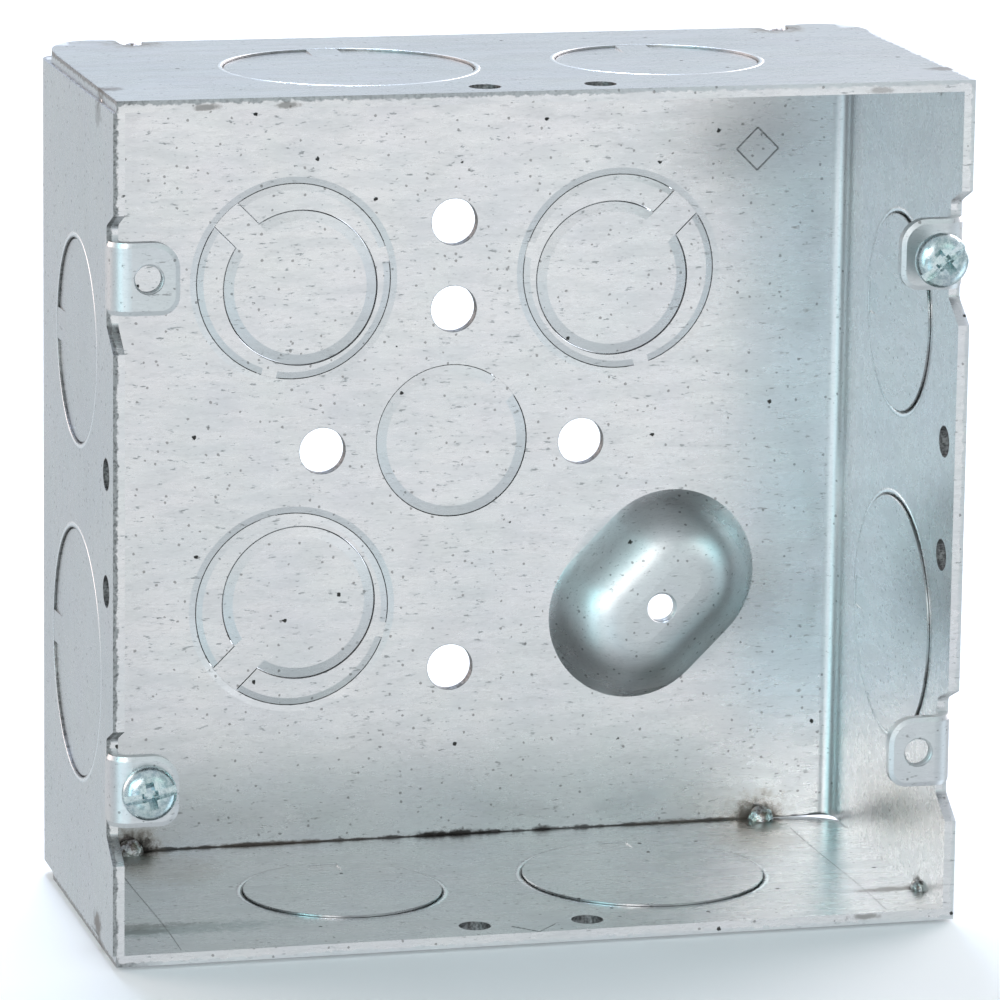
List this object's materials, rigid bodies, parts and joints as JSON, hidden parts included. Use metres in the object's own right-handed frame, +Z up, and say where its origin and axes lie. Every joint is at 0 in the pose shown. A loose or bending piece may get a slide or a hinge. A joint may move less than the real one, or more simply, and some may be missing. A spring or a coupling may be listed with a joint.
{
  "type": "square electrical junction box",
  "caption": "Deep square welded steel junction box with an open front, side and back knockouts on ties, a raised ground boss and folded ears with cover screws.",
  "frame": {"origin": "centre of the fixing hole pattern, on the back's outer face", "axes": "-Y out of the open front, +X right when facing the open front, +Z up"},
  "size_m": [0.119, 0.0588, 0.1188],
  "materials": {
    "galvanized_sheet": "dull zinc coat with a fine rolled grain and specks",
    "weld_metal": "rough resistance weld with a darker burnt edge",
    "zinc_screw": "bright zinc plate"
  },
  "bodies": {
    "box": {"wrap_body": "galvanized_sheet", "top_end_plate": "galvanized_sheet", "bottom_end_plate": "galvanized_sheet", "back_seam_welds_top": "weld_metal", "back_seam_welds_bottom": "weld_metal", "side_seam_welds_top": "weld_metal", "side_seam_welds_bottom": "weld_metal"},
    "knockout_top_left_slug": {"knockout_top_left": "galvanized_sheet"},
    "knockout_top_right_slug": {"knockout_top_right": "galvanized_sheet"},
    "knockout_bottom_left_slug": {"knockout_bottom_left": "galvanized_sheet"},
    "knockout_bottom_right_slug": {"knockout_bottom_right": "galvanized_sheet"},
    "knockout_left_upper_slug": {"knockout_left_upper": "galvanized_sheet"},
    "knockout_left_lower_slug": {"knockout_left_lower": "galvanized_sheet"},
    "knockout_right_upper_slug": {"knockout_right_upper": "galvanized_sheet"},
    "knockout_right_lower_slug": {"knockout_right_lower": "galvanized_sheet"},
    "knockout_back_centre_slug": {"knockout_back_centre": "galvanized_sheet"},
    "eccentric_disc_upper_left_slug": {"eccentric_disc_upper_left": "galvanized_sheet"},
    "eccentric_ring_upper_left_slug": {"eccentric_ring_upper_left": "galvanized_sheet"},
    "eccentric_disc_upper_right_slug": {"eccentric_disc_upper_right": "galvanized_sheet"},
    "eccentric_ring_upper_right_slug": {"eccentric_ring_upper_right": "galvanized_sheet"},
    "eccentric_disc_lower_left_slug": {"eccentric_disc_lower_left": "galvanized_sheet"},
    "eccentric_ring_lower_left_slug": {"eccentric_ring_lower_left": "galvanized_sheet"},
    "screw_upper_right": {"cover_screw_upper_right": "zinc_screw"},
    "screw_lower_left": {"cover_screw_lower_left": "zinc_screw"}
  },
  "joints": [
    {"name": "knockout_top_left_tie", "type": "hinge", "parent": "box", "child": "knockout_top_left_slug", "pos_m": [-0.0218, -0.01095, 0.05741], "axis": [1, 0, 0], "range_deg": [0, 50]},
    {"name": "knockout_top_right_tie", "type": "hinge", "parent": "box", "child": "knockout_top_right_slug", "pos_m": [0.0218, -0.0141, 0.05741], "axis": [1, 0, 0], "range_deg": [0, 50]},
    {"name": "knockout_bottom_left_tie", "type": "hinge", "parent": "box", "child": "knockout_bottom_left_slug", "pos_m": [-0.0218, -0.0141, -0.05741], "axis": [-1, 0, 0], "range_deg": [0, 50]},
    {"name": "knockout_bottom_right_tie", "type": "hinge", "parent": "box", "child": "knockout_bottom_right_slug", "pos_m": [0.0218, -0.01095, -0.05741], "axis": [-1, 0, 0], "range_deg": [0, 50]},
    {"name": "knockout_left_upper_tie", "type": "hinge", "parent": "box", "child": "knockout_left_upper_slug", "pos_m": [-0.05794, -0.0141, 0.0223], "axis": [0, 0, 1], "range_deg": [0, 50]},
    {"name": "knockout_left_lower_tie", "type": "hinge", "parent": "box", "child": "knockout_left_lower_slug", "pos_m": [-0.05794, -0.01095, -0.0213], "axis": [0, 0, 1], "range_deg": [0, 50]},
    {"name": "knockout_right_upper_tie", "type": "hinge", "parent": "box", "child": "knockout_right_upper_slug", "pos_m": [0.05794, -0.0141, 0.0223], "axis": [0, 0, -1], "range_deg": [0, 50]},
    {"name": "knockout_right_lower_tie", "type": "hinge", "parent": "box", "child": "knockout_right_lower_slug", "pos_m": [0.05794, -0.01095, -0.0213], "axis": [0, 0, -1], "range_deg": [0, 50]},
    {"name": "knockout_back_centre_tie", "type": "hinge", "parent": "box", "child": "knockout_back_centre_slug", "pos_m": [0.00775, -0.00159, 0.00865], "axis": [-0.7071, 0, 0.7071], "range_deg": [0, 60]},
    {"name": "eccentric_disc_upper_left_tie", "type": "hinge", "parent": "box", "child": "eccentric_disc_upper_left_slug", "pos_m": [-0.03327, -0.00159, 0.03457], "axis": [-0.7071, 0, -0.7071], "range_deg": [0, 60]},
    {"name": "eccentric_ring_upper_left_tie", "type": "hinge", "parent": "box", "child": "eccentric_ring_upper_left_slug", "pos_m": [-0.01832, 0, 0.01962], "axis": [-0.7071, 0, -0.7071], "range_deg": [0, 10]},
    {"name": "eccentric_disc_upper_right_tie", "type": "hinge", "parent": "box", "child": "eccentric_disc_upper_right_slug", "pos_m": [0.03417, -0.00159, 0.03457], "axis": [-0.7071, 0, 0.7071], "range_deg": [0, 60]},
    {"name": "eccentric_ring_upper_right_tie", "type": "hinge", "parent": "box", "child": "eccentric_ring_upper_right_slug", "pos_m": [0.01921, 0, 0.01962], "axis": [-0.7071, 0, 0.7071], "range_deg": [0, 10]},
    {"name": "eccentric_disc_lower_left_tie", "type": "hinge", "parent": "box", "child": "eccentric_disc_lower_left_slug", "pos_m": [-0.03327, -0.00159, -0.03287], "axis": [0.7071, 0, -0.7071], "range_deg": [0, 60]},
    {"name": "eccentric_ring_lower_left_tie", "type": "hinge", "parent": "box", "child": "eccentric_ring_lower_left_slug", "pos_m": [-0.01832, 0, -0.01792], "axis": [0.7071, 0, -0.7071], "range_deg": [0, 10]},
    {"name": "screw_upper_right_travel", "type": "slide", "parent": "box", "child": "screw_upper_right", "axis": [0, -1, 0], "range_m": [-0.0038, 0.003]},
    {"name": "screw_lower_left_travel", "type": "slide", "parent": "box", "child": "screw_lower_left", "axis": [0, -1, 0], "range_m": [0, 0.007]}
  ]
}
